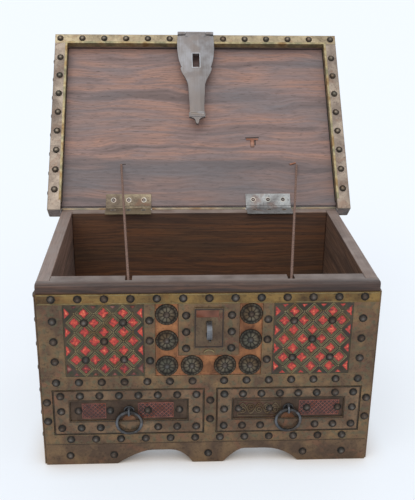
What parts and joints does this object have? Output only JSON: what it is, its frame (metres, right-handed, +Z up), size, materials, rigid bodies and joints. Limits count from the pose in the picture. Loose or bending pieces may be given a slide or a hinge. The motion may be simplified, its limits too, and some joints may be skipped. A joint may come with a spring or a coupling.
{
  "type": "brass-mounted chest",
  "caption": "Small wooden chest on a scalloped plinth with nailed pierced brass, a lid that opens on hinges with stay cords, a hasp and staple, and drawers with ring pulls.",
  "frame": {"origin": "middle of the footprint of the open chest, on the floor it stands on", "axes": "+Z up, +Y to the back, where the open lid leans, -Y out of the brass front, +X to the right seen from the front"},
  "size_m": [0.4448, 0.4958, 0.4756],
  "materials": {
    "case_wood": "dull, worn, grey-brown",
    "lid_wood": "waxed, streaked grain",
    "drawer_wood": "bare, dry",
    "aged_brass": "dark patina, worn bright on edges",
    "lid_brass": "worn satin",
    "lock_brass": "dark reddish patina",
    "copper_ground": "copper-toned, dull",
    "red_ground": "matt red",
    "dark_iron": "dark, slightly rubbed",
    "pale_iron": "worn grey satin",
    "hinge_brass": "worn satin",
    "cord_fibre": "twisted, dull"
  },
  "bodies": {
    "case": {"front_board": "case_wood", "left_side_board": "case_wood", "right_side_board": "case_wood", "back_board": "case_wood", "well_floor": "case_wood", "bottom_board": "case_wood", "drawer_divider": "case_wood", "top_strip": "aged_brass", "drawer_frame_brass": "aged_brass", "skirt_brass": "aged_brass", "left_corner_strip": "aged_brass", "left_inner_strip": "aged_brass", "left_red_ground": "red_ground", "left_lattice": "aged_brass", "right_corner_strip": "aged_brass", "right_inner_strip": "aged_brass", "right_red_ground": "red_ground", "right_lattice": "aged_brass", "rosette_band": "copper_ground", "lock_surround": "aged_brass", "lock_plate": "lock_brass", "hasp_staple": "pale_iron", "left_side_brass": "aged_brass", "right_side_brass": "aged_brass", "left_hinge_case_leaf": "hinge_brass", "left_hinge_pin": "hinge_brass", "right_hinge_case_leaf": "hinge_brass", "right_hinge_pin": "hinge_brass", "left_stay_cord": "cord_fibre", "right_stay_cord": "cord_fibre"},
    "lid": {"lid_panel": "lid_wood", "lid_front_rail": "lid_wood", "lid_left_rail": "lid_wood", "lid_right_rail": "lid_wood", "lid_front_brass": "lid_brass", "lid_left_brass": "lid_brass", "lid_right_brass": "lid_brass", "left_hinge_lid_leaf": "hinge_brass", "right_hinge_lid_leaf": "hinge_brass", "hasp_strap": "pale_iron", "hasp_pin": "pale_iron"},
    "hasp": {"hasp": "pale_iron"},
    "left_drawer": {"left_drawer_front": "drawer_wood", "left_drawer_left_wall": "drawer_wood", "left_drawer_right_wall": "drawer_wood", "left_drawer_back": "drawer_wood", "left_drawer_bottom": "drawer_wood", "left_drawer_brass": "aged_brass", "left_drawer_inlay": "red_ground", "left_ring_eye": "dark_iron"},
    "right_drawer": {"right_drawer_front": "drawer_wood", "right_drawer_left_wall": "drawer_wood", "right_drawer_right_wall": "drawer_wood", "right_drawer_back": "drawer_wood", "right_drawer_bottom": "drawer_wood", "right_drawer_brass": "aged_brass", "right_drawer_inlay": "red_ground", "right_ring_eye": "dark_iron"},
    "left_ring": {"left_ring": "dark_iron"},
    "right_ring": {"right_ring": "dark_iron"}
  },
  "joints": [
    {"name": "lid_hinge", "type": "hinge", "parent": "case", "child": "lid", "pos_m": [0, 0.04447, 0.2452], "axis": [1, 0, 0], "range_deg": [0, 131.7], "deforming": ["left_stay_cord", "right_stay_cord"]},
    {"name": "hasp_hinge", "type": "hinge", "parent": "lid", "child": "hasp", "pos_m": [-0.0015, 0.22543, 0.47265], "axis": [-1, 0, 0], "range_deg": [0, 136]},
    {"name": "left_drawer_slide", "type": "slide", "parent": "case", "child": "left_drawer", "axis": [0, -1, 0], "range_m": [0, 0.18]},
    {"name": "right_drawer_slide", "type": "slide", "parent": "case", "child": "right_drawer", "axis": [0, -1, 0], "range_m": [0, 0.18]},
    {"name": "left_ring_swing", "type": "hinge", "parent": "left_drawer", "child": "left_ring", "pos_m": [-0.0961, -0.23433, 0.07692], "axis": [-1, 0, 0], "range_deg": [0, 100]},
    {"name": "right_ring_swing", "type": "hinge", "parent": "right_drawer", "child": "right_ring", "pos_m": [0.0989, -0.23433, 0.07692], "axis": [-1, 0, 0], "range_deg": [0, 100]}
  ],
  "couplings": [
    {"joint": "hasp_hinge", "follows": "lid_hinge", "ratio": 1.0326}
  ]
}
